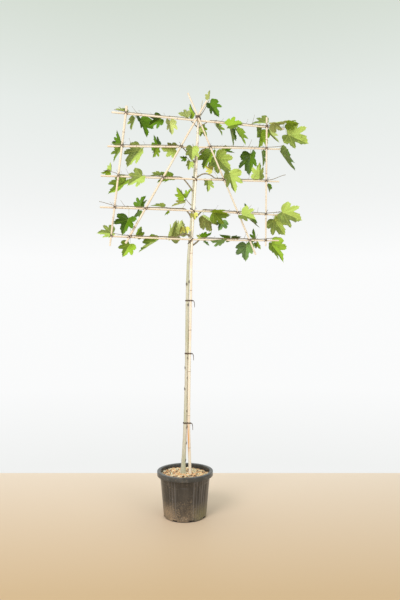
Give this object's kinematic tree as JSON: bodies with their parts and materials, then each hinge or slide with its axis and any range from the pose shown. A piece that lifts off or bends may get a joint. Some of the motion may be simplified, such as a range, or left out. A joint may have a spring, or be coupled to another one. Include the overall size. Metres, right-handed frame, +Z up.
{
  "type": "potted espaliered plane tree",
  "caption": "Young plane tree on a clear stem, its boughs tied flat along the rails of a bamboo cane frame, growing in a black nursery pot.",
  "frame": {"origin": "centre of the pot's flat underside, which stands on the ground", "axes": "+Z up along the stem, +X to the right along the flat crown, +Y to the back; the front of the crown faces -Y"},
  "size_m": [1.4375, 0.376, 2.8805],
  "materials": {
    "bark": "matt grey-green bark with dark knots",
    "cane": "smooth dry bamboo, pale straw",
    "leaves": "soft leaf, dark above and pale below",
    "young_leaves": "soft young leaf, yellow-green",
    "tie": "black soft tie",
    "pot": "black moulded nursery pot, dusty at the foot",
    "soil": "rough bark mulch"
  },
  "bodies": {
    "root": {"apex_tie": "tie", "bough_1_left": "bark", "bough_1_right": "bark", "bough_2_left": "bark", "bough_2_right": "bark", "bough_3_left": "bark", "bough_3_right": "bark", "bough_4_left": "bark", "bough_4_right": "bark", "bough_5_left": "bark", "bough_5_right": "bark", "lashing_2": "tie", "lashing_3": "tie", "lashing_4": "tie", "lashing_5": "tie", "leaves_1_left": "leaves", "leaves_1_right": "leaves", "leaves_1_spur": "leaves", "leaves_2_front": "leaves", "leaves_2_left": "leaves", "leaves_2_right": "leaves", "leaves_2_spur": "leaves", "leaves_3_left": "leaves", "leaves_3_right": "leaves", "leaves_4_front": "leaves", "leaves_4_left": "leaves", "leaves_4_right": "leaves", "leaves_4_spur": "leaves", "leaves_5_left": "leaves", "leaves_5_right": "leaves", "leaves_5_spur": "leaves", "leaves_leader": "young_leaves", "leaves_top_left": "leaves", "left_rake": "cane", "left_upright": "cane", "post": "cane", "pot": "pot", "rail_1": "cane", "rail_2": "cane", "rail_3": "cane", "rail_4": "cane", "rail_5": "cane", "right_rake": "cane", "right_upright": "cane", "soil": "soil", "trunk": "bark", "trunk_tie_1": "tie", "trunk_tie_2": "tie", "trunk_tie_3": "tie"}
  },
  "joints": []
}
